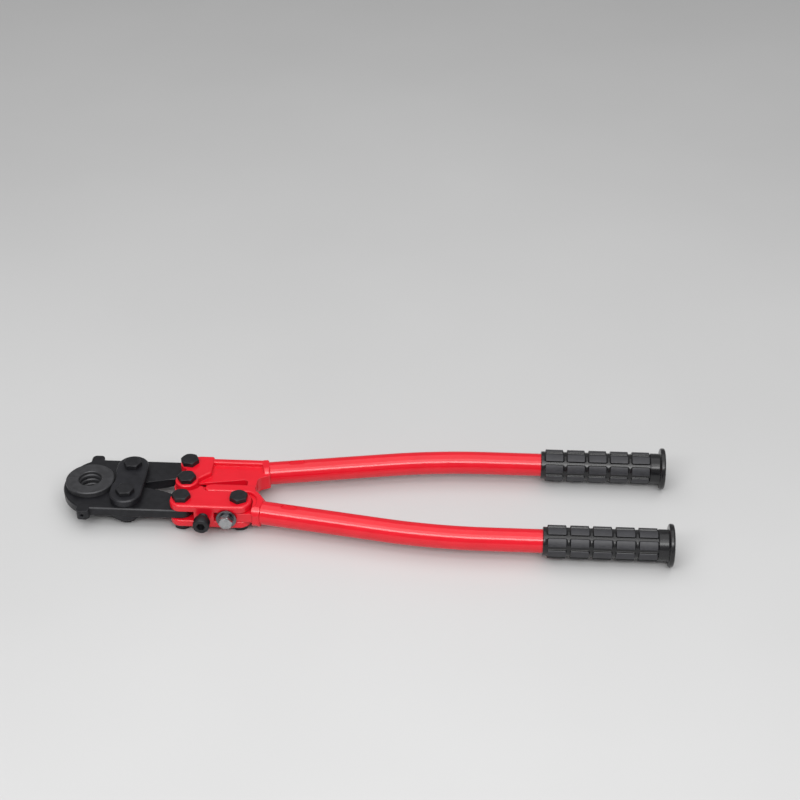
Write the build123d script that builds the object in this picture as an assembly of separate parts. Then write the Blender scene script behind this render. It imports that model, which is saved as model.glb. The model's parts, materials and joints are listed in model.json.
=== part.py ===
from build123d import *
from math import asin, atan2, cos, hypot, radians, sin, sqrt, tan
import os

# Hand-worked pipe press pliers: two jaws that carry a split ring die, a pair of link plates,
# a toggle of two cast heads about one centre bolt, an adjuster fork and two bent tube handles.
# The origin is the middle of the closed die, +X runs to the handles, +Y to the upper jaw, +Z up.

# Pivots in plan
jaw_pivot_x = 31.5
jaw_pivot_y = 17.5
tail_pivot_x = 77.0
tail_pivot_y = 23.0
center_x = 78.0
adjust_pivot_x = 122.3
adjust_pivot_y = 22.0

# Layers through the thickness
jaw_t = 8.0
side_gap = 0.15
plate_t = 6.0
cheek_t = 6.45
pocket_depth = 4.3
lug_rise = 0.5

# Fits
hole_fit = 0.05
seat_fit = 0.05
split_gap = 0.10
tail_gap = 1.5
center_play = 4.3
lug_gap = 3.5
adjust_gap = 0.8
web_gap = 1.0
lock_gap = 0.4
tip_gap = 0.12

# Pivot bolts and nuts
bolt_d = 8.0
hex_af = 13.0
head_h = 3.9
nut_h = 5.6
hex_chamfer = 30.0

# Split die
die_flange_r = 19.3
die_flange_t = 4.6
die_root_r = 16.5
die_bore_r = 9.0
die_land_r = 8.2
die_land_w = 1.8
die_land_pitch = 4.4
die_mouth = 0.6
die_chamfer = 0.8

# Die detent in each jaw
detent_hole_r = 2.5
detent_ball_r = 2.3
detent_bite = 0.9
detent_wire_r = 0.35
detent_turns = 6
detent_screw_len = 6.0
detent_socket_af = 2.5
detent_socket_depth = 2.5

# Jaws
nose_x = 21.0
nose_mid_x = 13.5
nose_mid_y = 21.5
boss_half = 5.0
boss_y = 36.5
boss_root_y = 29.0
boss_round = 3.5
tail_r = 8.5
jaw_relief = 14.5
jaw_heel_x = 66.0
jaw_chamfer = 0.9

# Link plates
plate_lobe_r = 12.6
plate_waist_r = 20.6
plate_chamfer = 1.0

# Cast heads, with lengths measured along X from the centre bolt
lug_r = 9.0
tail_lug_r = 7.6
center_lug_r = 9.25
lug_waist = 3.0
block_len = 18.0
block_low_y = 10.5
foot_start = 48.0
foot_end = 55.0
foot_gap = 0.2
slope_front_y = 2.6
slope_rear_y = 8.2
slope_round = 3.0
notch_y = 10.0
notch_round = 6.0
rim_inset = 1.6
rim_drop = 0.8
rim_w = 5.4
rear_rim_w = 5.5
tongue_wall = 2.1
spine_start = 15.5
spine_low_y = 11.2
spine_inset = 3.1
shoulder_y = 4.0
body_drop = 1.0
body_lip = 1.0
body_cone_len = 9.0
body_cone_rise = 7.2
groove_shift = 3.0
groove_depth = 2.6
cast_round = 1.5
corner_round = 2.0

# Adjuster fork and its screws, with lengths measured along X from the centre bolt
fork_round_r = 10.0
fork_margin = 11.5
fork_edge_round = 2.0
fork_slot_round = 1.4
fork_corner_round = 2.4
horn_y = 5.0
screw_x = 17.0
web_start = 9.5
web_end = 26.0
web_t = 5.0
web_round = 1.5
tongue_inset = 0.6
cap_head_d = 13.0
cap_head_h = 8.0
cap_round = 0.8
cap_socket_af = 6.0
cap_socket_depth = 4.5
cap_stand_off = 4.5
screw_tip_chamfer = 1.2
lock_x = 35.5
lock_d = 6.0
lock_af = 10.0
lock_head_h = 4.0
lock_turn = 10.0
lock_boss_r = 5.5
lock_boss_gap = 0.5
lock_depth = 12.0
washer_r = 8.0
washer_t = 1.6
spring_washer_r = 5.9
spring_washer_t = 1.6
spring_washer_split = 1.0
spring_washer_slant = 30.0

# Handle tubes
tube_r = 9.25
tube_wall = 1.8
collar_r = 11.0
collar_x = 63.0
collar_y = 25.5
spigot_root = 4.0
spigot_len = 34.0
handle_y = 48.5
handle_bend_r = 480.0
handle_lean = 9.65
handle_end_x = 460.0
crimp_offset = 22.0
crimp_len = 13.0
crimp_w = 5.0
crimp_depth = 0.9

# Vinyl grips
grip_len = 100.0
grip_skin = 1.9
grip_rows = 5
grip_around = 8
pad_len = 14.4
pad_gap = 3.0
pad_rise = 1.6
groove_w = 2.8
grip_lead = 3.5
grip_band_len = 8.0
grip_band_rise = 1.0
flange_r = 16.7
flange_t = 4.0
flange_round = 1.4
grip_end_t = 4.0

# Derived places
bolt_r = bolt_d / 2
hole_r = bolt_r + hole_fit
lock_r = lock_d / 2
lock_hole_r = lock_r + hole_fit
half_split = split_gap / 2
jaw_face = jaw_t / 2
cheek_in = jaw_face + side_gap
plate_top = cheek_in + plate_t
cheek_top = cheek_in + cheek_t
lug_top = cheek_top + lug_rise
rim_top = cheek_top - rim_drop
body_top = cheek_top - body_drop
pocket_floor = cheek_top - pocket_depth
jaw_seat_r = die_root_r + seat_fit
jaw_edge_y = tail_pivot_y + tail_r
head_edge_y = tail_pivot_y + lug_r
rim_edge_y = head_edge_y - rim_inset
tongue_hole_r = bolt_r + center_play
tongue_r = tongue_hole_r + tongue_wall
fork_clear_r = center_lug_r + lug_gap
fork_edge_y = adjust_pivot_y + fork_margin
tongue_edge_y = fork_edge_y - web_t - web_gap
grip_start_x = handle_end_x - grip_len

jaw_pivot = (jaw_pivot_x, jaw_pivot_y)
tail_pivot = (tail_pivot_x, tail_pivot_y)
low_tail_pivot = (tail_pivot_x, -tail_pivot_y)
center_pivot = (center_x, 0.0)
adjust_pivot = (adjust_pivot_x, -adjust_pivot_y)
collar_end = (center_x + collar_x, collar_y)


# Small helpers

def disc(center, radius):
    return Pos(*center) * Circle(radius)


def outline(*points):
    return make_face(Polyline(*points, close=True))


def soften(plan, radius):
    """Round every inner corner, then every outer corner, of a plan outline."""
    filled = offset(offset(plan, radius, kind=Kind.ARC), -radius, kind=Kind.ARC)
    return offset(offset(filled, -radius, kind=Kind.ARC), radius, kind=Kind.ARC)


def round_corner(plan, corner, radius):
    """Round the corner of a plan outline that lies at this point."""
    return fillet(plan.vertices().sort_by_distance(Vector(*corner))[0], radius)


def layer(plan, low, high):
    return extrude(Pos(0, 0, low) * plan, amount=high - low)


def middle_layer(plan, half):
    return extrude(plan, amount=half, both=True)


def bore(center, radius):
    """Vertical cutter longer than any stack of pieces."""
    return Pos(*center) * Cylinder(radius, 8 * cheek_top)


def along_y(x, radius, y_start, y_end):
    """Round bar along Y at mid-thickness."""
    low = min(y_start, y_end)
    length = abs(y_end - y_start)
    return Pos(x, low + length / 2, 0) * Rot(90, 0, 0) * Cylinder(radius, length)


def level_edges(part, height):
    """Edges that lie in a level plane, at this height and its mirror."""
    near = 0.01
    upper = part.edges().filter_by_position(Axis.Z, height - near, height + near)
    lower = part.edges().filter_by_position(Axis.Z, -height - near, -height + near)
    return upper + lower


def lower_twin(part):
    return mirror(part, about=Plane.XZ)


# Hexagon fasteners

def hex_head(height, across=hex_af):
    """Hexagon prism that stands on its seat, with its top corners turned off."""
    corner_r = across / sqrt(3)
    flat_r = 0.95 * across / 2
    drop = (corner_r - flat_r) * tan(radians(hex_chamfer))
    profile = make_face(
        Polyline((0, 0), (corner_r, 0), (corner_r, height - drop), (flat_r, height), (0, height), close=True)
    )
    prism = extrude(RegularPolygon(across / 2, 6, major_radius=False), amount=height)
    return prism & revolve(Plane.XZ * profile, Axis.Z)


def pivot_bolt(center, seat, turn):
    """Hex bolt through a stack that is level above and below the middle plane."""
    length = 2 * seat + nut_h
    shank = Pos(0, 0, -length / 2) * Cylinder(bolt_r, length)
    bolt = Rot(0, 0, turn) * hex_head(head_h) + shank
    return Pos(*center, seat) * bolt


def pivot_nut(center, seat, turn):
    nut = Rot(180, 0, turn) * hex_head(nut_h)
    return Pos(*center, -seat) * nut - bore(center, hole_r)


# Link plates

def link_plate():
    low_pivot = (jaw_pivot_x, -jaw_pivot_y)
    bar = Pos(jaw_pivot_x, 0) * Rectangle(2 * plate_lobe_r, 2 * jaw_pivot_y)
    plan = bar + disc(jaw_pivot, plate_lobe_r) + disc(low_pivot, plate_lobe_r)
    plan -= Circle(plate_waist_r)
    plate = layer(plan, cheek_in, plate_top)
    plate = chamfer(level_edges(plate, plate_top), plate_chamfer)
    return plate - bore(jaw_pivot, hole_r) - bore(low_pivot, hole_r)


# Jaws and dies

def tangent_point(start, center, radius):
    """Where a line from start touches the far lower side of a circle."""
    reach = hypot(center[0] - start[0], center[1] - start[1])
    heading = atan2(center[1] - start[1], center[0] - start[0]) - asin(radius / reach)
    length = sqrt(reach ** 2 - radius ** 2)
    return start[0] + length * cos(heading), start[1] + length * sin(heading)


def upper_jaw():
    heel_y = half_split + (jaw_heel_x - jaw_pivot_x) * tan(radians(jaw_relief))
    heel = (jaw_heel_x, heel_y)
    tail_touch = tangent_point(heel, tail_pivot, tail_r)
    seat_x = sqrt(jaw_seat_r ** 2 - half_split ** 2)
    boundary = Curve() + [
        ThreePointArc((-nose_x, half_split), (-nose_mid_x, nose_mid_y), (-boss_half, boss_root_y)),
        Polyline(
            (-boss_half, boss_root_y),
            (-boss_half, boss_y),
            (boss_half, boss_y),
            (boss_half, jaw_edge_y),
            (tail_pivot_x, jaw_edge_y),
        ),
        ThreePointArc((tail_pivot_x, jaw_edge_y), (tail_pivot_x + tail_r, tail_pivot_y), tail_touch),
        Polyline(tail_touch, heel, (jaw_pivot_x, half_split), (seat_x, half_split)),
        ThreePointArc((seat_x, half_split), (0, jaw_seat_r), (-seat_x, half_split)),
        Line((-seat_x, half_split), (-nose_x, half_split)),
    ]
    jaw = middle_layer(make_face(boundary), jaw_face)
    outer = [edge for edge in level_edges(jaw, jaw_face) if edge.center().Y > nose_mid_y / 2]
    outer = [edge for edge in outer if edge.length > 15]
    outer = [edge for edge in outer if edge.distance_to(Vector(0, jaw_seat_r, edge.center().Z)) > 1]
    jaw = chamfer(outer, jaw_chamfer)
    boss_corners = jaw.edges().filter_by(Axis.Z).filter_by_position(Axis.Y, boss_y - 0.01, boss_y + 0.01)
    jaw = fillet(boss_corners, boss_round)
    jaw -= bore(jaw_pivot, hole_r)
    jaw -= bore(tail_pivot, hole_r)
    return jaw - along_y(0, detent_hole_r, 0, 2 * boss_y)


def die_ring():
    """Whole ring die: two flanges, a groove that sits on the jaws and a lobed bore."""
    groove = jaw_face + side_gap
    half_t = groove + die_flange_t
    lands = []
    for place in (-1, 0, 1):
        mid = place * die_land_pitch
        lands += [
            (die_bore_r, mid - die_land_w),
            (die_land_r, mid - die_land_w / 2),
            (die_land_r, mid + die_land_w / 2),
            (die_bore_r, mid + die_land_w),
        ]
    section = lands + [
        (die_bore_r, half_t - die_mouth),
        (die_bore_r + die_mouth, half_t),
        (die_flange_r - die_chamfer, half_t),
        (die_flange_r, half_t - die_chamfer),
        (die_flange_r, groove),
        (die_root_r, groove),
        (die_root_r, -groove),
        (die_flange_r, -groove),
        (die_flange_r, die_chamfer - half_t),
        (die_flange_r - die_chamfer, -half_t),
        (die_bore_r + die_mouth, -half_t),
        (die_bore_r, die_mouth - half_t),
    ]
    return revolve(Plane.XZ * make_face(Polyline(*section, close=True)), Axis.Z)


def detent_ball_y():
    return die_root_r + detent_ball_r - detent_bite


def upper_die():
    side = 4 * die_flange_r
    half_space = Pos(0, half_split + side / 2, 0) * Box(side, side, side)
    dimple = Pos(0, detent_ball_y(), 0) * Sphere(detent_ball_r + hole_fit)
    return (die_ring() & half_space) - dimple


def upper_detent_ball():
    return Pos(0, detent_ball_y(), 0) * Sphere(detent_ball_r)


def detent_screw_y():
    return boss_y - detent_screw_len


def upper_detent_spring():
    """Open coil between the ball and the set screw."""
    coil_r = detent_hole_r - 3 * hole_fit - detent_wire_r
    contact = sqrt(detent_ball_r ** 2 - coil_r ** 2)
    start_y = detent_ball_y() + contact + 2 * detent_wire_r
    height = detent_screw_y() - start_y - detent_wire_r - hole_fit
    path = Helix(height / detent_turns, height, coil_r)
    wire = Plane(origin=path @ 0, z_dir=path % 0) * RegularPolygon(detent_wire_r, 6)
    return Pos(0, start_y, 0) * Rot(-90, 0, 0) * sweep(wire, path=path)


def upper_detent_screw():
    screw = along_y(0, detent_hole_r - hole_fit, detent_screw_y(), boss_y)
    key = extrude(RegularPolygon(detent_socket_af / 2, 6, major_radius=False), amount=detent_socket_depth)
    return screw - Pos(0, boss_y - detent_socket_depth, 0) * Rot(-90, 0, 0) * key


# Cast heads

def handle_axis(side):
    """Direction of the tube where it leaves the head."""
    lean = radians(handle_lean)
    return Vector(cos(lean), side * sin(lean), 0)


def handle_plane(side, back):
    """Plane across the tube, this far back from its end."""
    end = Vector(collar_end[0], side * collar_end[1], 0)
    return Plane(origin=end - handle_axis(side) * back, x_dir=(0, 0, 1), z_dir=handle_axis(side))


def spigot(side):
    """Stub inside the tube."""
    stub_r = tube_r - tube_wall - hole_fit
    return extrude(handle_plane(side, spigot_root) * Circle(stub_r), amount=spigot_root + spigot_len)


def end_point(side, y, back=0.0):
    """Point on the head's end face, or on a face this far back from it."""
    lean = radians(handle_lean)
    x = collar_end[0] - (y - collar_y) * tan(lean) - back / cos(lean)
    return x, side * y


def upper_collar():
    """Round shoulder that the tube butts against, level with the rim above and below."""
    collar = extrude(handle_plane(1, rear_rim_w) * Circle(collar_r), amount=rear_rim_w)
    collar = fillet(collar.edges().filter_by(GeomType.CIRCLE), cast_round)
    side = 4 * collar_r
    level = Pos(*collar_end, 0) * Box(side, side, 2 * rim_top)
    beyond = Pos(collar_end[0], rim_edge_y + side / 2, 0) * Box(side, side, side)
    return (collar & level) - beyond


def upper_head():
    """Casting with cheeks about the jaw's tail and the lower head's tongue, and a sunk side panel."""
    waist_x = center_x - lug_waist
    block_x = center_x + block_len
    foot_x = center_x + foot_start
    heel_x = center_x + foot_end
    rim_inner_y = rim_edge_y - rim_w
    shoulder_x = tail_pivot_x + tail_lug_r
    lug_edge_y = tail_pivot_y + tail_lug_r
    lugs = disc(tail_pivot, tail_lug_r) + disc(center_pivot, center_lug_r)
    core = outline(
        (waist_x, 0),
        (waist_x, tail_pivot_y),
        (tail_pivot_x, lug_edge_y),
        (shoulder_x, rim_edge_y),
        end_point(1, rim_edge_y),
        end_point(1, collar_y - collar_r),
        (heel_x, notch_y),
        (heel_x, foot_gap / 2),
        (foot_x, foot_gap / 2),
        (foot_x, slope_rear_y),
        (block_x, slope_front_y),
        (center_x + center_lug_r, slope_front_y / 2),
    )
    core = round_corner(core, (heel_x, notch_y), notch_round)
    core = round_corner(core, (foot_x, slope_rear_y), slope_round)
    core = soften(core + lugs, corner_round)
    rim = outline(
        (shoulder_x, rim_edge_y),
        end_point(1, rim_edge_y),
        end_point(1, collar_y),
        end_point(1, collar_y, rear_rim_w),
        end_point(1, rim_inner_y, rear_rim_w),
        (shoulder_x, rim_inner_y),
    )
    rim = layer(soften(rim, corner_round), 0, rim_top)
    rim = fillet(level_edges(rim, rim_top), cast_round)
    block = outline(
        (waist_x, 0),
        (waist_x, tail_pivot_y),
        (tail_pivot_x, lug_edge_y),
        (shoulder_x, head_edge_y),
        (block_x, head_edge_y),
        (block_x, block_low_y),
        (center_x + center_lug_r, slope_front_y),
    )
    raised = layer(soften(block + lugs, corner_round), 0, cheek_top)
    raised = fillet(level_edges(raised, cheek_top), cast_round)
    raised += rim
    head = middle_layer(core, pocket_floor) + raised + mirror(raised, about=Plane.XY)
    boss = middle_layer(disc(center_pivot, center_lug_r), lug_top)
    head += fillet(level_edges(boss, lug_top), cast_round)
    head += upper_collar() + spigot(1)
    slot_x = tail_pivot_x + tail_r + tail_gap
    slot_y = 2 * head_edge_y
    slot = Pos(slot_x - slot_y / 2, 0) * Rectangle(slot_y, slot_y)
    slot += disc(center_pivot, tongue_r + center_play)
    head -= middle_layer(slot, cheek_in)
    return head - bore(tail_pivot, hole_r) - bore(center_pivot, hole_r)


def spine_plan(inner_y):
    """Rib of the lower head along the fork's inner edge, with a round front, and the body up to the tube."""
    half = (spine_low_y - inner_y) / 2
    front = (center_x + spine_start + half, -inner_y - half)
    root_r = tube_r + body_lip
    reach = root_r * cos(radians(handle_lean))
    flare = sqrt((root_r + body_cone_rise) ** 2 - body_top ** 2)
    bend = handle_plane(-1, body_cone_len).origin + handle_axis(-1).rotate(Axis.Z, 90) * flare
    heel_x = center_x + foot_end
    body = outline(
        (front[0], -inner_y),
        (heel_x, -inner_y),
        (heel_x, -shoulder_y),
        (bend.X, bend.Y),
        end_point(-1, collar_y - reach),
        end_point(-1, collar_y + reach),
        (adjust_pivot_x, -fork_edge_y),
        (adjust_pivot_x, -spine_low_y),
        (front[0], -spine_low_y),
    )
    return body + disc(front, half)


def around_tube(*profile):
    """Ring about the lower tube's axis, from points given as a radius and a distance back from the tube."""
    end = handle_plane(-1, 0)
    turning = Plane(origin=end.origin, x_dir=end.x_dir, z_dir=handle_axis(-1).rotate(Axis.Z, 90))
    section = outline(*[(radius, -back) for radius, back in profile])
    return revolve(turning * section, Axis(end.origin, handle_axis(-1)))


def fork_tail(clear):
    """Round rear end of the fork, with a clearance about it."""
    radius = fork_round_r + clear
    corner = (adjust_pivot_x, fork_round_r - fork_edge_y)
    middle_y = (corner[1] - adjust_pivot_y) / 2
    between = Pos(adjust_pivot_x, middle_y) * Rectangle(2 * radius, -corner[1] - adjust_pivot_y)
    return disc(adjust_pivot, radius) + disc(corner, radius) + between


def lower_head():
    """Casting with a tongue for the centre bolt, a spine, and a rear body about the fork's round end."""
    front_x = center_x + web_start
    heel_x = center_x + foot_end
    block_x = center_x + lock_x - lock_boss_r
    root_x = adjust_pivot_x + fork_round_r + groove_shift
    block_y = fork_edge_y - tongue_inset
    groove_floor = body_top - groove_depth
    inner_y = foot_gap / 2
    lock_mid_x = center_x + lock_x
    tongue = outline(
        (center_x, -inner_y),
        (heel_x, -inner_y),
        (heel_x, -spine_low_y),
        (root_x, -spine_low_y),
        (root_x, -block_y),
        (block_x, -block_y),
        (block_x, -tongue_edge_y),
        (front_x, -tongue_edge_y),
        (front_x, -tongue_r),
        (center_x, -tongue_r),
    )
    tongue = soften(tongue + disc(center_pivot, tongue_r), corner_round)
    open_side = Pos(adjust_pivot_x, fork_round_r - 1.5 * fork_edge_y) * Rectangle(
        2 * (fork_round_r + adjust_gap), fork_edge_y
    )
    pocket = fork_tail(adjust_gap) + open_side
    groove = pocket + Pos(groove_shift, 0) * fork_tail(adjust_gap)
    rim = layer(soften(spine_plan(inner_y + spine_inset) - groove, corner_round), 0, body_top)
    rim = fillet(level_edges(rim, body_top), cast_round)
    head = middle_layer(tongue, jaw_face) + rim + mirror(rim, about=Plane.XY)
    head += middle_layer(soften(spine_plan(inner_y) - pocket, corner_round), groove_floor)
    root_r = tube_r + body_lip
    rim_r = root_r + body_cone_rise
    far_r = 2 * rim_r
    inner = Pos(collar_end[0], -collar_end[1], 0) * Rot(0, 0, -handle_lean) * Pos(0, far_r, 0) * Box(
        2 * far_r, 2 * far_r, 2 * far_r
    )
    far = ((far_r, body_cone_len), (far_r, -spigot_root))
    head -= around_tube((root_r, -spigot_root), (root_r, 0), (rim_r, body_cone_len), *far) & inner
    head -= around_tube((collar_r, -spigot_root), (collar_r, body_cone_len), *far) - inner
    head += spigot(-1)
    head += along_y(lock_mid_x, lock_boss_r, -tongue_edge_y, -spine_low_y)
    head -= bore(center_pivot, tongue_hole_r)
    head -= bore(adjust_pivot, hole_r)
    return head - along_y(lock_mid_x, lock_hole_r, -2 * tongue_edge_y, lock_depth - tongue_edge_y)


# Adjuster fork and its screws

def adjuster_fork():
    """Two cheeks and a web, hinged on the lower head and carrying the lower jaw's tail."""
    edge = -fork_edge_y
    cheek = outline(
        (tail_pivot_x, edge),
        (adjust_pivot_x, edge),
        (adjust_pivot_x, -horn_y),
        (center_x, -horn_y),
        (tail_pivot_x - lug_r, -tail_pivot_y),
    )
    rib = spine_plan(foot_gap / 2) + spine_plan(foot_gap / 2 + spine_inset)
    cheek -= offset(rib, adjust_gap, kind=Kind.ARC)
    cheek += disc(low_tail_pivot, lug_r) + disc((tail_pivot_x, edge + lug_r), lug_r)
    cheek += fork_tail(0)
    cheek -= disc(center_pivot, fork_clear_r)
    cheeks = layer(soften(cheek, fork_corner_round), cheek_in, cheek_top)
    cheeks = fillet(level_edges(cheeks, cheek_top), fork_edge_round)
    cheeks = fillet(level_edges(cheeks, cheek_in), fork_slot_round)
    fork = cheeks + mirror(cheeks, about=Plane.XY)
    web_mid_x = center_x + (web_start + web_end) / 2
    web_w = web_end - web_start
    web = Pos(web_mid_x, edge + web_t / 2, 0) * Box(web_w, web_t, 2 * cheek_top - 2 * fork_edge_round)
    fork += fillet(web.edges().filter_by(Axis.Z).group_by(Axis.Y)[0], web_round)
    fork -= along_y(center_x + screw_x, hole_r, 2 * edge, 0)
    lock_relief = along_y(
        center_x + lock_x, lock_boss_r + lock_boss_gap, -tongue_edge_y - adjust_gap, -spine_low_y + adjust_gap
    )
    fork -= lock_relief
    return fork - bore(low_tail_pivot, hole_r) - bore(adjust_pivot, hole_r)


def adjusting_screw():
    """Socket head screw through the fork's web, with its tip against the lower head's tongue."""
    seat_y = -fork_edge_y - cap_stand_off
    x = center_x + screw_x
    screw = along_y(x, bolt_r, seat_y, -tongue_edge_y - tip_gap)
    screw = chamfer(screw.edges().sort_by(Axis.Y)[-1], screw_tip_chamfer)
    head = along_y(x, cap_head_d / 2, seat_y - cap_head_h, seat_y)
    head = fillet(head.edges().filter_by(GeomType.CIRCLE).sort_by(Axis.Y)[0], cap_round)
    key = extrude(RegularPolygon(cap_socket_af / 2, 6, major_radius=False), amount=cap_socket_depth)
    socket = Pos(x, seat_y - cap_head_h + cap_socket_depth, 0) * Rot(90, 0, 0) * key
    return screw + head - socket


def lock_washer():
    y = -fork_edge_y - lock_gap
    ring = along_y(center_x + lock_x, washer_r, y - washer_t, y)
    return ring - along_y(center_x + lock_x, lock_hole_r, y - 2 * washer_t, y + washer_t)


def lock_spring_washer():
    """Split ring under the lock bolt's head."""
    y = -fork_edge_y - lock_gap - washer_t
    x = center_x + lock_x
    ring = along_y(x, spring_washer_r, y - spring_washer_t, y)
    ring -= along_y(x, lock_hole_r, y - 2 * spring_washer_t, y + spring_washer_t)
    split = Pos(x, y, -spring_washer_r) * Rot(0, 0, spring_washer_slant) * Box(
        spring_washer_split, 4 * spring_washer_t, 2 * spring_washer_r
    )
    return ring - split


def lock_bolt():
    """Hex bolt that pulls the fork against the lower head once it is set."""
    seat_y = -fork_edge_y - lock_gap - washer_t - spring_washer_t
    x = center_x + lock_x
    shank = along_y(x, lock_r, seat_y, lock_depth - tongue_edge_y - hole_fit)
    head = Pos(x, seat_y, 0) * Rot(90, 0, 0) * Rot(0, 0, lock_turn) * hex_head(lock_head_h, lock_af)
    return shank + head


# Handles

def tube_path(side, end_x):
    """Straight from the head, one long bend, then level with the tool's length."""
    start = (collar_end[0], side * collar_end[1])
    knee_x = collar_end[0] + (handle_y - collar_y) / tan(radians(handle_lean))
    return FilletPolyline(start, (knee_x, side * handle_y), (end_x, side * handle_y), radius=handle_bend_r)


def handle_tube(side):
    start = Plane(origin=(collar_end[0], side * collar_end[1], 0), z_dir=handle_axis(side))
    path = tube_path(side, handle_end_x - grip_end_t)
    tube = sweep(start * Circle(tube_r), path=path) - sweep(start * Circle(tube_r - tube_wall), path=path)
    middle = Vector(collar_end[0], side * collar_end[1], 0) + handle_axis(side) * crimp_offset
    mark = Rot(0, 0, side * handle_lean) * SlotOverall(crimp_len, crimp_w)
    return tube - extrude(Pos(middle.X, middle.Y, tube_r - crimp_depth) * mark, amount=2 * crimp_depth)


def grip(side):
    """Moulded sleeve with rows of raised pads, a plain band and an end flange. Its own axis is Z."""
    bore_r = tube_r + hole_fit
    skin_r = bore_r + grip_skin
    pad_r = skin_r + pad_rise
    band_start = grip_len - flange_t - grip_band_len
    sleeve = Pos(0, 0, grip_len / 2) * Cylinder(skin_r, grip_len)
    sleeve += Pos(0, 0, band_start + grip_band_len / 2) * Cylinder(skin_r + grip_band_rise, grip_band_len)
    flange = Pos(0, 0, grip_len - flange_t / 2) * Cylinder(flange_r, flange_t)
    sleeve += fillet(flange.edges().filter_by(GeomType.CIRCLE), flange_round)
    rows = Part()
    for row in range(grip_rows):
        start = grip_lead + row * (pad_len + pad_gap)
        rows += Pos(0, 0, start + pad_len / 2) * Cylinder(pad_r, pad_len)
    for cut in range(grip_around // 2):
        turn = cut * 360 / grip_around
        rows -= Rot(0, 0, turn) * Pos(0, 0, grip_len / 2) * Box(4 * pad_r, groove_w, grip_len)
    sleeve += rows
    depth = grip_len - grip_end_t
    sleeve -= Pos(0, 0, depth / 2) * Cylinder(bore_r, depth)
    return Pos(grip_start_x, side * handle_y, 0) * Rot(0, 90, 0) * sleeve


def write(name, *solids):
    shape = solids[0] if len(solids) == 1 else Compound(children=list(solids))
    export_step(shape, os.path.join("parts", name + ".step"))


os.makedirs("parts", exist_ok=True)

top_plate = link_plate()
low_jaw_pivot = (jaw_pivot_x, -jaw_pivot_y)
write("link_plate_top", top_plate)
write("link_plate_bottom", mirror(top_plate, about=Plane.XY))
write("plate_bolts", pivot_bolt(jaw_pivot, plate_top, 0), pivot_bolt(low_jaw_pivot, plate_top, 8))
write("plate_nuts", pivot_nut(jaw_pivot, plate_top, 20), pivot_nut(low_jaw_pivot, plate_top, 5))

for name, make in (
    ("jaw", upper_jaw),
    ("die", upper_die),
    ("detent_ball", upper_detent_ball),
    ("detent_spring", upper_detent_spring),
    ("detent_screw", upper_detent_screw),
):
    piece = make()
    write("upper_" + name, piece)
    write("lower_" + name, lower_twin(piece))

write("upper_head", upper_head())
write("lower_head", lower_head())
write("adjuster_fork", adjuster_fork())
write("adjusting_screw", adjusting_screw())
write("lock_bolt", lock_bolt())
write("lock_washer", lock_washer())
write("lock_spring_washer", lock_spring_washer())

for name, center, seat, turn in (
    ("center", center_pivot, lug_top, 4),
    ("upper_tail", tail_pivot, cheek_top, -6),
    ("lower_tail", low_tail_pivot, cheek_top, 2),
    ("adjuster", adjust_pivot, cheek_top, 26),
):
    write(name + "_bolt", pivot_bolt(center, seat, turn))
    write(name + "_nut", pivot_nut(center, seat, turn + 15))

for name, side in (("upper", 1), ("lower", -1)):
    write(name + "_tube", handle_tube(side))
    write(name + "_grip", grip(side))
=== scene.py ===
import json
import math

import bmesh
import bpy
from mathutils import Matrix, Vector


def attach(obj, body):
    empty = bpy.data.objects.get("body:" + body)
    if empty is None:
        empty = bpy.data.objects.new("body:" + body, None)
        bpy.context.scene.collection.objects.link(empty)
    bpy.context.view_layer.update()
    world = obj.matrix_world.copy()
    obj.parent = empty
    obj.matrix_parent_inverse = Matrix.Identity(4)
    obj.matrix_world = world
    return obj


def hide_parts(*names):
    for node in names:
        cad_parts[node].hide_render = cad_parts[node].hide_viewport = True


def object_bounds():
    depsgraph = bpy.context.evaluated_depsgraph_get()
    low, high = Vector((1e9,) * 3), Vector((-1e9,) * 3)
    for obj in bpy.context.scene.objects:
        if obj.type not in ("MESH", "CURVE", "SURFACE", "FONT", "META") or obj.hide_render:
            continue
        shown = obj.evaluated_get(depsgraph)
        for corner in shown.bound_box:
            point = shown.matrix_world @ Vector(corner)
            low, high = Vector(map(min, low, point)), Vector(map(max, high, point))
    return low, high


# Looks of the pipe press pliers: red enamel on the castings and tubes, black oxide on the jaws,
# plates, dies and bolts, zinc on the lock bolt and its washers, moulded vinyl sleeves on the
# handles, and an adjusting screw with a real thread and knurl.

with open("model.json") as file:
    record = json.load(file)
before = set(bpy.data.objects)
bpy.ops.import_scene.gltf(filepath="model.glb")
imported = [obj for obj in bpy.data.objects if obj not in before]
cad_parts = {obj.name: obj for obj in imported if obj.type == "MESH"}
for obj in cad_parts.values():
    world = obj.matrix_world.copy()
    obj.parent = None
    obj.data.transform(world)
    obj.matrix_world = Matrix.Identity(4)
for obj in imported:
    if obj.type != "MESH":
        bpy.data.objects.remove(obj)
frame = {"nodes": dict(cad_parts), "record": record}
cad_low, cad_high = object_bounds()

MM = 0.001

# Pairs of tones between which a surface drifts

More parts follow.
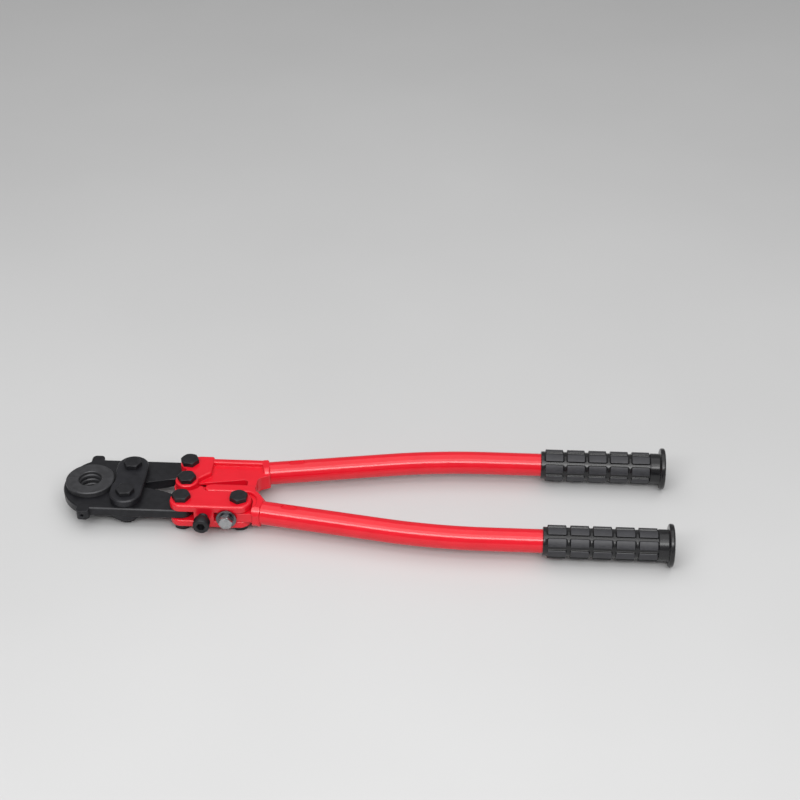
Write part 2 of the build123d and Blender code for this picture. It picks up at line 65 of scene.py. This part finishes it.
ENAMEL = (0.74, 0.006, 0.020), (0.69, 0.005, 0.017)
PLATE_OXIDE = (0.011, 0.011, 0.014), (0.018, 0.018, 0.022)
JAW_OXIDE = (0.008, 0.008, 0.010), (0.014, 0.014, 0.017)
DIE_OXIDE = (0.038, 0.038, 0.041), (0.052, 0.052, 0.056)
BOLT_OXIDE = (0.009, 0.009, 0.011), (0.016, 0.016, 0.019)
BOLT_ZINC = (0.34, 0.35, 0.36), (0.45, 0.46, 0.47)
# Painted shade: the washers get a darker copy of the zinc, standing in for the shade in the crevice under the
# lock bolt's head
WASHER_ZINC_PAINTED_SHADE = (0.13, 0.13, 0.14), (0.20, 0.20, 0.21)
BALL_STEEL = (0.56, 0.56, 0.57), (0.64, 0.64, 0.65)
SKIN_VINYL = (0.006, 0.006, 0.007), (0.010, 0.010, 0.011)
PAD_VINYL = (0.018, 0.018, 0.021), (0.027, 0.027, 0.031)
FLOOR_GREY = (0.56, 0.56, 0.56), (0.585, 0.585, 0.585)

# Paler tones of edges and grain: a painted highlight on the enamel's edges, wear and a painted highlight on
# the jaws' and plates' edges, wear on the dies' and bolts' edges

ENAMEL_PAINTED_HIGHLIGHT = (0.84, 0.045, 0.070)
STEEL_WEAR_AND_HIGHLIGHT = (0.11, 0.11, 0.12)
DIE_WORN = (0.08, 0.08, 0.085)
BOLT_WORN = (0.06, 0.06, 0.063)
PAD_GRAIN = (0.046, 0.046, 0.052)

# Cosines of the normal's turn at which a point counts wholly as an edge, and not at all
EDGE_FULL, EDGE_NONE = 0.86, 0.985
EDGE_SAMPLES = 12
LATHE_PITCH = 0.45


class Shader:
    """One material's node tree, with short calls for the nodes that this scene uses."""

    def __init__(self, name):
        self.material = bpy.data.materials.new(name)
        self.material.use_nodes = True
        tree = self.material.node_tree
        self.nodes = tree.nodes
        self.links = tree.links
        self.surface = self.nodes["Principled BSDF"]
        self.place = self.nodes.new("ShaderNodeTexCoord").outputs["Object"]

    def put(self, node, socket, value):
        """Link an output to a socket, or set the socket to a constant."""
        if isinstance(value, bpy.types.NodeSocket):
            self.links.new(value, node.inputs[socket])
        else:
            node.inputs[socket].default_value = value

    def math(self, operation, first, second=0.0):
        node = self.nodes.new("ShaderNodeMath")
        node.operation = operation
        self.put(node, 0, first)
        self.put(node, 1, second)
        return node.outputs[0]

    def noise(self, size, detail=3.0, stretch=(1, 1, 1)):
        """Noise whose features are about this many millimetres across before stretching."""
        mapping = self.nodes.new("ShaderNodeMapping")
        mapping.inputs["Scale"].default_value = stretch
        self.put(mapping, "Vector", self.place)
        node = self.nodes.new("ShaderNodeTexNoise")
        node.inputs["Scale"].default_value = 1 / (size * MM)
        node.inputs["Detail"].default_value = detail
        self.put(node, "Vector", mapping.outputs[0])
        return node.outputs["Fac"]

    def span(self, value, low, high, start=0.35, end=0.65):
        """Map start to end, where most of a noise lies, onto low to high."""
        node = self.nodes.new("ShaderNodeMapRange")
        limits = (("From Min", start), ("From Max", end), ("To Min", low), ("To Max", high))
        for socket, number in limits:
            node.inputs[socket].default_value = number
        self.put(node, "Value", value)
        return node.outputs[0]

    def mix(self, factor, first, second):
        node = self.nodes.new("ShaderNodeMix")
        node.data_type = "RGBA"
        self.put(node, "Factor", factor)
        for socket, value in ((6, first), (7, second)):
            color = value if isinstance(value, bpy.types.NodeSocket) else (*value, 1)
            self.put(node, socket, color)
        return node.outputs[2]

    def drift(self, cloud, tones):
        """Colour that drifts between two tones with a noise."""
        return self.mix(self.span(cloud, 0.0, 1.0), *tones)

    def worn_and_highlit_edges(self, tone, edge, bare, size, least, most):
        """Tone that is paled along the edges, in patches of this size: partly rubbed towards bare metal,
        partly a painted highlight on the edges.
        """
        share = self.math("MULTIPLY", edge, self.span(self.noise(size), least, most))
        return self.mix(share, tone, bare)

    def round_edges(self, radius):
        """Normal that turns smoothly over edges, and a mask that is 1 on them."""
        bevel = self.nodes.new("ShaderNodeBevel")
        bevel.samples = EDGE_SAMPLES
        bevel.inputs["Radius"].default_value = radius * MM
        normal = bevel.outputs["Normal"]
        plain = self.nodes.new("ShaderNodeNewGeometry").outputs["Normal"]
        dot = self.nodes.new("ShaderNodeVectorMath")
        dot.operation = "DOT_PRODUCT"
        self.put(dot, 0, normal)
        self.put(dot, 1, plain)
        return normal, self.span(dot.outputs["Value"], 1.0, 0.0, EDGE_FULL, EDGE_NONE)

    def bump(self, height, depth, normal=None):
        """Normal of a surface whose height runs over this many millimetres."""
        node = self.nodes.new("ShaderNodeBump")
        node.inputs["Distance"].default_value = depth * MM
        self.put(node, "Height", height)
        if normal is not None:
            self.put(node, "Normal", normal)
        return node.outputs[0]

    def finish(self, **sockets):
        """Set the surface's sockets, named in lower case with underscores."""
        for name, value in sockets.items():
            socket = name.replace("_", " ").title().replace("Ior", "IOR")
            self.put(self.surface, socket, value)
        return self.material


def red_enamel(name, cast):
    """Glossy red enamel: smooth on the tubes, over a faint cast skin on the heads and fork."""
    s = Shader(name)
    normal = None
    tone = s.drift(s.noise(18), ENAMEL)
    if cast:
        normal, edge = s.round_edges(0.6)
        # Painted highlight: the cast edges are paled towards a light pink, standing in for the light that the
        # rounded edges catch
        tone = s.mix(s.math("MULTIPLY", edge, 0.5), tone, ENAMEL_PAINTED_HIGHLIGHT)
        normal = s.bump(s.noise(3.2, 2.0), 0.07, normal)
    normal = s.bump(s.noise(2.2, 1.0), 0.010, normal)
    rough = 0.20 if cast else 0.12
    roughness = s.span(s.noise(7), rough, rough + 0.07)
    return s.finish(base_color=tone, roughness=roughness, ior=1.55, normal=normal)


def black_oxide(name, tones, rough, grain):
    """Black oxide on ground steel, with grinding lines along the tool and paler edges, partly wear and partly
    a painted highlight.
    """
    s = Shader(name)
    normal, edge = s.round_edges(0.4)
    lines = s.noise(9, 4.0, grain)
    # Painted highlight: the edges are paled in patches, partly as wear and partly standing in for the bright
    # lines that light draws along them
    tone = s.worn_and_highlit_edges(s.drift(s.noise(6), tones), edge, STEEL_WEAR_AND_HIGHLIGHT, 2.5, 0.15, 0.6)
    normal = s.bump(lines, 0.03, normal)
    roughness = s.span(lines, rough - 0.06, rough + 0.08)
    return s.finish(base_color=tone, metallic=0.3, roughness=roughness, normal=normal)


def turned_oxide(name):
    """Black oxide over the fine rings that a lathe leaves about the die's axis."""
    s = Shader(name)
    normal, edge = s.round_edges(0.4)
    parts = s.nodes.new("ShaderNodeSeparateXYZ")
    s.put(parts, 0, s.place)
    x_square, y_square = (s.math("POWER", parts.outputs[axis], 2.0) for axis in (0, 1))
    radius = s.math("SQRT", s.math("ADD", x_square, y_square))
    rings = s.math("SINE", s.math("MULTIPLY", radius, 2 * math.pi / (LATHE_PITCH * MM)))
    cloud = s.noise(5)
    tone = s.worn_and_highlit_edges(s.drift(cloud, DIE_OXIDE), edge, DIE_WORN, 2.0, 0.2, 0.6)
    normal = s.bump(rings, 0.006, normal)
    roughness = s.span(cloud, 0.40, 0.52)
    return s.finish(base_color=tone, metallic=0.4, roughness=roughness, normal=normal)


def bolt_black(name, edge_radius):
    """Oiled black oxide of the bolts, nuts and screws, with a forged skin."""
    s = Shader(name)
    normal, edge = s.round_edges(edge_radius)
    skin = s.noise(1.6, 3.0)
    tone = s.worn_and_highlit_edges(s.drift(s.noise(4), BOLT_OXIDE), edge, BOLT_WORN, 1.8, 0.2, 0.7)
    normal = s.bump(skin, 0.03, normal)
    roughness = s.span(skin, 0.36, 0.48)
    return s.finish(base_color=tone, metallic=0.3, roughness=roughness, normal=normal)


def zinc(name, tones):
    """Zinc plate with a faint cloud and fine scratches."""
    s = Shader(name)
    normal, _ = s.round_edges(0.3)
    cloud = s.noise(3)
    scratch = s.noise(5, 4.0, (1, 14, 1))
    normal = s.bump(scratch, 0.012, normal)
    roughness = s.span(cloud, 0.20, 0.34)
    return s.finish(base_color=s.drift(cloud, tones), metallic=1.0, roughness=roughness, normal=normal)


def bright_steel(name):
    """Polished steel of the detent balls and springs."""
    s = Shader(name)
    cloud = s.noise(2)
    return s.finish(base_color=s.drift(cloud, BALL_STEEL), metallic=1.0, roughness=s.span(cloud, 0.18, 0.28))


def vinyl(name):
    """Glossy black vinyl of the sleeve's skin, with a faint orange peel."""
    s = Shader(name)
    cloud = s.noise(9)
    normal = s.bump(s.noise(1.4, 2.0), 0.012)
    return s.finish(base_color=s.drift(cloud, SKIN_VINYL), roughness=s.span(cloud, 0.20, 0.28), normal=normal)


def grained_vinyl(name):
    """Tops of the grip's pads: a fine grain that lies along the handle and scatters the light."""
    s = Shader(name)
    grain = s.noise(1.1, 4.0, (0.5, 2, 2))
    tone = s.drift(s.noise(9), PAD_VINYL)
    tone = s.mix(s.span(grain, 0.0, 0.6), tone, PAD_GRAIN)
    normal = s.bump(grain, 0.05)
    return s.finish(base_color=tone, roughness=s.span(grain, 0.40, 0.55), normal=normal)


cast_red = red_enamel("red_enamel_cast", True)
tube_red = red_enamel("red_enamel_tube", False)
plate_black = black_oxide("black_oxide_plate", PLATE_OXIDE, 0.40, (0.25, 6, 6))
jaw_black = black_oxide("black_oxide_jaw", JAW_OXIDE, 0.38, (0.2, 7, 7))
# Painted shade: a darker zinc on the lock washers, for the shade between the bolt's head and the tongue
washer_zinc_painted_shade = zinc("zinc_plate_washer_painted_shade", WASHER_ZINC_PAINTED_SHADE)
pad_vinyl = grained_vinyl("black_vinyl_pad")
screw_black = bolt_black("black_oxide_screw", 0.08)
slot_material = {
    "red_paint": cast_red,
    "black_oxide": jaw_black,
    "die_steel": turned_oxide("black_oxide_turned"),
    "black_bolt": bolt_black("black_oxide_bolt", 0.35),
    "bright_steel": bright_steel("bright_steel"),
    "zinc_plate": zinc("zinc_plate", BOLT_ZINC),
    "black_vinyl": vinyl("black_vinyl"),
}
node_material = {
    "lock_washer": washer_zinc_painted_shade,
    "lock_spring_washer": washer_zinc_painted_shade,
    "upper_tube": tube_red,
    "lower_tube": tube_red,
    "link_plate_top": plate_black,
    "link_plate_bottom": plate_black,
}

for part in frame["record"]["subparts"]:
    node = frame["nodes"][part["node"]]
    material = node_material.get(part["node"], slot_material[part["material_slot"]])
    for slot in node.material_slots:
        slot.material = material


# Meshes made of rings of points

ROUND_STEPS = (0, 30, 60, 90)


def smooth(share):
    """Rise from 0 to 1 that starts and ends level."""
    share = min(1.0, max(0.0, share))
    return share * share * (3 - 2 * share)


def quarter_round(radius):
    """(distance behind the face, rise) of points along a rounded rim, from the face on."""
    angles = [math.radians(degree) for degree in ROUND_STEPS]
    return [(radius * (1 - math.cos(angle)), radius * math.sin(angle)) for angle in angles]


def loft(work, rings):
    """Closed skin over rings of points, with as many points in each."""
    count = len(rings[0])
    for low, high in zip(rings, rings[1:]):
        for i in range(count):
            k = (i + 1) % count
            work.faces.new((low[i], low[k], high[k], high[i]))
    work.faces.new(rings[0])
    work.faces.new(rings[-1])
    bmesh.ops.recalc_face_normals(work, faces=work.faces)
    work.normal_update()


def add_piece(name, work, materials):
    """Smooth-shaded object from a finished bmesh."""
    for face in work.faces:
        face.smooth = True
    mesh = bpy.data.meshes.new(name)
    work.to_mesh(mesh)
    work.free()
    for material in materials:
        mesh.materials.append(material)
    piece = bpy.data.objects.new(name, mesh)
    bpy.context.scene.collection.objects.link(piece)
    return piece


# Adjusting screw, in millimetres along its axis from the head's face to the tip

SCREW_X, SCREW_Y, SCREW_LEN = 95.0, -46.0, 18.38
CAP_R, CAP_LEN, CAP_ROUND, CAP_CHAMFER = 6.5, 8.0, 0.8, 0.4
KNURLS, KNURL_DEPTH = 42, 0.30
SOCKET_FLAT, SOCKET_DEPTH, SOCKET_MOUTH_R, SOCKET_CHAMFER = 3.0, 4.5, 3.75, 0.3
SHANK_R, ROOT_R, RUN_OUT, TIP_CHAMFER = 4.0, 3.35, 1.2, 1.2
THREAD_PITCH, RINGS_PER_PITCH = 1.25, 12
ROOT_FLAT, CREST_FLAT = 0.25, 0.125
SHARP_ANGLE = math.radians(40)


def hexagon(angle):
    """Distance from the axis to the key socket's wall."""
    sixth = math.pi / 3
    return SOCKET_FLAT / math.cos(angle % sixth - sixth / 2)


def knurled(angle):
    """Radius of the head, which swings once over each ridge."""
    return CAP_R - KNURL_DEPTH * (1 - math.cos(KNURLS * angle)) / 2


def threaded(place, angle):
    """Radius of the shank: a thread with flat roots and crests that runs out below the head."""
    turn = (place / THREAD_PITCH - angle / (2 * math.pi)) % 1
    flank = (abs(2 * turn - 1) - ROOT_FLAT) / (1 - ROOT_FLAT - CREST_FLAT)
    ridge = min(1.0, max(0.0, flank))
    ridge = max(ridge, 1 - smooth((place - CAP_LEN) / RUN_OUT))
    return min(ROOT_R + (SHANK_R - ROOT_R) * ridge, SHANK_R - TIP_CHAMFER + SCREW_LEN - place)


def screw_rows(angles):
    """(place along the screw, radius at each angle) from the socket's floor to the tip."""
    def even(radius):
        return [radius] * len(angles)

    socket = [hexagon(angle) for angle in angles]
    knurl = [knurled(angle) for angle in angles]
    rows = [(SOCKET_DEPTH, socket), (SOCKET_CHAMFER, socket), (0.0, even(SOCKET_MOUTH_R))]
    rim = CAP_R - KNURL_DEPTH - CAP_ROUND
    rows += [(behind, even(rim + rise)) for behind, rise in quarter_round(CAP_ROUND)]
    rows += [(CAP_ROUND + KNURL_DEPTH, knurl), (CAP_LEN - CAP_CHAMFER - KNURL_DEPTH, knurl)]
    rows += [(CAP_LEN - CAP_CHAMFER, even(CAP_R - KNURL_DEPTH)), (CAP_LEN, even(rim))]
    count = math.ceil((SCREW_LEN - CAP_LEN) * RINGS_PER_PITCH / THREAD_PITCH)
    for i in range(count + 1):
        place = CAP_LEN + (SCREW_LEN - CAP_LEN) * i / count
        rows.append((place, [threaded(place, angle) for angle in angles]))
    return rows


def threaded_screw():
    """Socket head screw with a knurled head and a rolled thread, as one closed mesh."""
    angles = [math.pi * i / KNURLS for i in range(2 * KNURLS)]
    work = bmesh.new()
    rings = []
    for place, radii in screw_rows(angles):
        ring = []
        for angle, radius in zip(angles, radii):
            point = (SCREW_X + radius * math.cos(angle), SCREW_Y + place, radius * math.sin(angle))
            ring.append(work.verts.new(Vector(point) * MM))
        rings.append(ring)
    loft(work, rings)
    just_past_head = (SCREW_Y + CAP_LEN + 0.01) * MM
    for edge in work.edges:
        on_head = max(vert.co.y for vert in edge.verts) < just_past_head
        edge.smooth = not on_head or edge.calc_face_angle(0.0) < SHARP_ANGLE
    screw = add_piece("adjusting_screw_threaded", work, [screw_black])
    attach(screw, "adjusting_screw")
    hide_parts("adjusting_screw")


threaded_screw()


# Vinyl sleeves, in millimetres along and about their own axis

GRIP_START, GRIP_LEN, HANDLE_Y = 360.0, 100.0, 48.5
HUB_R, BORE_R, SKIN_R, BAND_R, FLANGE_R, FLANGE_ROUND = 0.5, 9.3, 11.2, 12.2, 16.7, 1.4
LEAD_LEN, BAND_START, FLANGE_START, CLOSED_END = 3.5, 88.0, 96.0, 96.0
DISH_R, DISH_FLOOR_R, DISH_DEPTH = 11.0, 10.2, 0.5
PAD_ROWS, PADS_AROUND, PAD_LEN, PAD_GAP, PAD_RISE = 5, 8, 14.4, 3.0, 1.6
GROOVE_W, PAD_CORNER, PAD_WALL = 2.8, 0.9, 0.55
PAD_TOP_SHARE = 0.9

# Spacing of the mesh: close to a pad's walls, which it overlaps, and wide elsewhere
NEAR_WALL = (0.0, 0.25, 0.5, 0.8, 1.3, 2.2)
WIDE_STRIDE = 1.6
OVERLAP_ALONG, OVERLAP_AROUND = 0.3, 0.5


def graded(start, end):
    """Places from start to end that crowd together near both ends."""
    near = [start + step for step in NEAR_WALL]
    far = [end - step for step in reversed(NEAR_WALL)]
    gap = far[0] - near[-1]
    count = max(1, round(gap / WIDE_STRIDE))
    return near + [near[-1] + gap * i / count for i in range(1, count)] + far


def pad_lift(x, turn):
    """How far the moulding stands above its skin at a place along it and an angle about it."""
    pitch = PAD_LEN + PAD_GAP
    first = LEAD_LEN + PAD_LEN / 2
    row = min(PAD_ROWS - 1, max(0, round((x - first) / pitch)))
    step = 2 * math.pi / PADS_AROUND
    off = turn - step * round(turn / step)
    width = step * (SKIN_R + PAD_RISE) - GROOVE_W
    across = abs(x - first - row * pitch) - PAD_LEN / 2 + PAD_CORNER
    around = abs(off) * (SKIN_R + PAD_RISE) - width / 2 + PAD_CORNER
    outside = math.hypot(max(across, 0), max(around, 0)) + min(max(across, around), 0) - PAD_CORNER
    return PAD_RISE * smooth(0.5 - outside / PAD_WALL)


def grip_rows():
    """(place along the sleeve, radius, True where pads may stand), from inside the closed end
    along the bore to the mouth, and back along the outside to the end's dished face."""
    inside = [(CLOSED_END, HUB_R), (CLOSED_END, BORE_R), (0.0, BORE_R)]
    mouth = [(0.0, SKIN_R - 0.6), (0.2, SKIN_R - 0.15), (0.6, SKIN_R)]
    padded = []
    for row in range(PAD_ROWS):
        start = LEAD_LEN + row * (PAD_LEN + PAD_GAP)
        padded += graded(start - OVERLAP_ALONG, start + PAD_LEN + OVERLAP_ALONG)
    band = [(BAND_START - 0.1, SKIN_R), (BAND_START + 0.1, BAND_R - 0.3), (BAND_START + 0.5, BAND_R)]
    rim = FLANGE_R - FLANGE_ROUND
    rounded = quarter_round(FLANGE_ROUND)
    flange = [(FLANGE_START - 0.9, BAND_R), (FLANGE_START - 0.2, BAND_R + 0.3), (FLANGE_START, BAND_R + 1.0)]
    flange += [(FLANGE_START + behind, rim + rise) for behind, rise in rounded]
    flange += [(GRIP_LEN - behind, rim + rise) for behind, rise in reversed(rounded)]
    dish_floor = GRIP_LEN - DISH_DEPTH
    dish = [(GRIP_LEN, DISH_R), (dish_floor, DISH_FLOOR_R), (dish_floor, HUB_R)]
    rows = [(x, radius, False) for x, radius in inside + mouth]
    rows += [(x, SKIN_R, True) for x in padded]
    return rows + [(x, radius, False) for x, radius in band + flange + dish]


def grip(side, name, turn):
    """Moulded sleeve with rows of raised pads, as one closed mesh on the handle's straight end."""
    step = 360.0 / PADS_AROUND
    arc = (SKIN_R + PAD_RISE) * math.radians(1)
    half = step * arc / 2
    across_pad = graded(GROOVE_W / 2 - OVERLAP_AROUND - half, half - GROOVE_W / 2 + OVERLAP_AROUND)
    angles = []
    for pad in range(PADS_AROUND):
        angles += [pad * step + place / arc for place in across_pad]
    work = bmesh.new()
    rings = []
    raised = set()
    for x, radius, padded in grip_rows():
        ring = []
        for degree in angles:
            angle = math.radians(degree)
            lift = pad_lift(x, angle) if padded else 0.0
            r = radius + lift
            around = angle + math.radians(turn)
            place = (GRIP_START + x, side * HANDLE_Y + r * math.cos(around), r * math.sin(around))
            vert = work.verts.new(Vector(place) * MM)
            ring.append(vert)
            if lift > PAD_TOP_SHARE * PAD_RISE:
                raised.add(vert)
        rings.append(ring)
    loft(work, rings)
    for face in work.faces:
        face.material_index = 1 if raised.issuperset(face.verts) else 0
    sleeve = add_piece(name, work, [slot_material["black_vinyl"], pad_vinyl])
    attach(sleeve, "upper_handle" if side > 0 else "lower_handle")
    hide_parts("upper_grip" if side > 0 else "lower_grip")


grip(1, "upper_grip_moulding", 22.5)
grip(-1, "lower_grip_moulding", 10.0)


# Floor, light and camera, in metres

TOOL_MIDDLE_X = 0.22
FLOOR_R, FLOOR_SIDES, FLOOR_GAP = 12.0, 96, 0.1 * MM
WORLD_STRENGTH = 0.28
CAMERA_PLACE = (0.3044, -1.0611, 0.8384)
CAMERA_AIM = (-0.0437, 0.8180, -0.5736)
CAMERA_LENS, CAMERA_SENSOR = 76.5, 36.0


def add_floor():
    """Plain pale floor, just under the tool's lowest face."""
    shader = Shader("floor")
    tone = shader.drift(shader.noise(400), FLOOR_GREY)
    material = shader.finish(base_color=tone, roughness=0.75)
    mesh = bpy.data.meshes.new("floor")
    work = bmesh.new()
    bmesh.ops.create_circle(work, cap_ends=True, segments=FLOOR_SIDES, radius=FLOOR_R)
    work.to_mesh(mesh)
    work.free()
    mesh.materials.append(material)
    floor = bpy.data.objects.new("floor", mesh)
    floor.location = (TOOL_MIDDLE_X, 0, cad_low.z - FLOOR_GAP)
    bpy.context.scene.collection.objects.link(floor)


def aim(obj, direction):
    """Turn a lamp or camera to look along a direction."""
    obj.rotation_mode = "QUATERNION"
    obj.rotation_quaternion = direction.to_track_quat("-Z", "Y")


def add_softbox(name, place, size, power):
    """Rectangular area light that faces the tool's middle."""
    light = bpy.data.lights.new(name, "AREA")
    light.shape = "RECTANGLE"
    light.size, light.size_y = size
    light.energy = power
    lamp = bpy.data.objects.new(name, light)
    lamp.location = place
    aim(lamp, Vector((TOOL_MIDDLE_X, 0, 0)) - Vector(place))
    bpy.context.scene.collection.objects.link(lamp)


def add_world():
    """Even white light from all round."""
    world = bpy.data.worlds.new("studio")
    bpy.context.scene.world = world
    world.use_nodes = True
    background = world.node_tree.nodes["Background"]
    background.inputs["Color"].default_value = (1.0, 1.0, 1.0, 1)
    background.inputs["Strength"].default_value = WORLD_STRENGTH


def add_camera():
    """Camera fitted to the photo's view."""
    data = bpy.data.cameras.new("camera")
    data.lens = CAMERA_LENS
    data.sensor_width = CAMERA_SENSOR
    data.clip_start, data.clip_end = 0.05, 50.0
    camera = bpy.data.objects.new("camera", data)
    camera.location = CAMERA_PLACE
    aim(camera, Vector(CAMERA_AIM))
    bpy.context.scene.collection.objects.link(camera)
    bpy.context.scene.camera = camera


add_floor()
add_softbox("softbox_top", (0.22, 0.22, 1.58), (2.6, 1.7), 12.5)
add_softbox("softbox_front", (0.22, -0.71, 1.43), (2.0, 0.65), 8.5)
add_softbox("softbox_edge", (0.22, -1.12, 1.14), (2.0, 0.36), 17.0)
add_world()
add_camera()
bpy.context.scene.view_settings.view_transform = "Standard"
